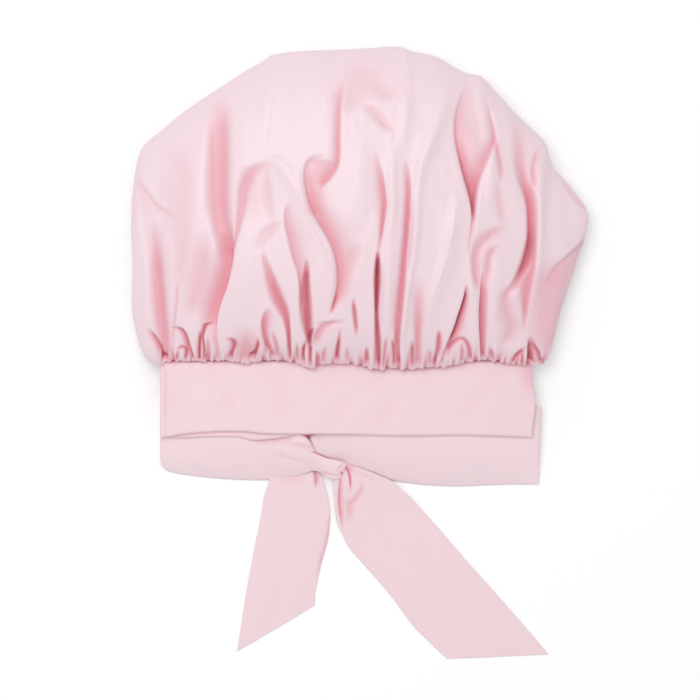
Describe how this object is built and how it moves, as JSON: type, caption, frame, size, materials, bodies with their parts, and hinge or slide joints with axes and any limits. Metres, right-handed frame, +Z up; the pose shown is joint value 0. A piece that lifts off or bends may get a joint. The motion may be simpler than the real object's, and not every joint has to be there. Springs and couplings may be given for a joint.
{
  "type": "hair bonnet",
  "caption": "Gathered satin tie-back hair bonnet laid flat, with a folded front band, elastic nape and half-knotted back ties whose tails lift.",
  "frame": {"origin": "on the table under the middle of the whole bonnet as it lies", "axes": "+Z up from the table towards the bonnet's front, +Y from the tails to the top of the crown, +X along the front band to the right as its front is seen"},
  "size_m": [0.3442, 0.454, 0.0584],
  "materials": {
    "satin": "pale pink satin",
    "band": "pale pink satin, pressed flat and more matt",
    "interfacing": "matt white",
    "elastic": "matt white braided elastic"
  },
  "bodies": {
    "bonnet": {"crown_left_panel": "satin", "crown_centre_panel": "satin", "crown_right_panel": "satin", "front_band": "band", "band_core": "interfacing", "nape_casing": "band", "nape_elastic": "elastic", "left_tie": "band", "right_tie": "band"},
    "left_tail_end": {"left_tail": "band"},
    "right_tail_end": {"right_tail": "band"}
  },
  "joints": [
    {"name": "left_tail_lift", "type": "hinge", "parent": "bonnet", "child": "left_tail_end", "pos_m": [-0.04833, -0.11227, 0.0012], "axis": [-0.9836, 0.1805, 0], "range_deg": [0, 120]},
    {"name": "right_tail_lift", "type": "hinge", "parent": "bonnet", "child": "right_tail_end", "pos_m": [0.01617, -0.13177, 0.0012], "axis": [-0.7547, -0.6561, 0], "range_deg": [0, 120]}
  ]
}
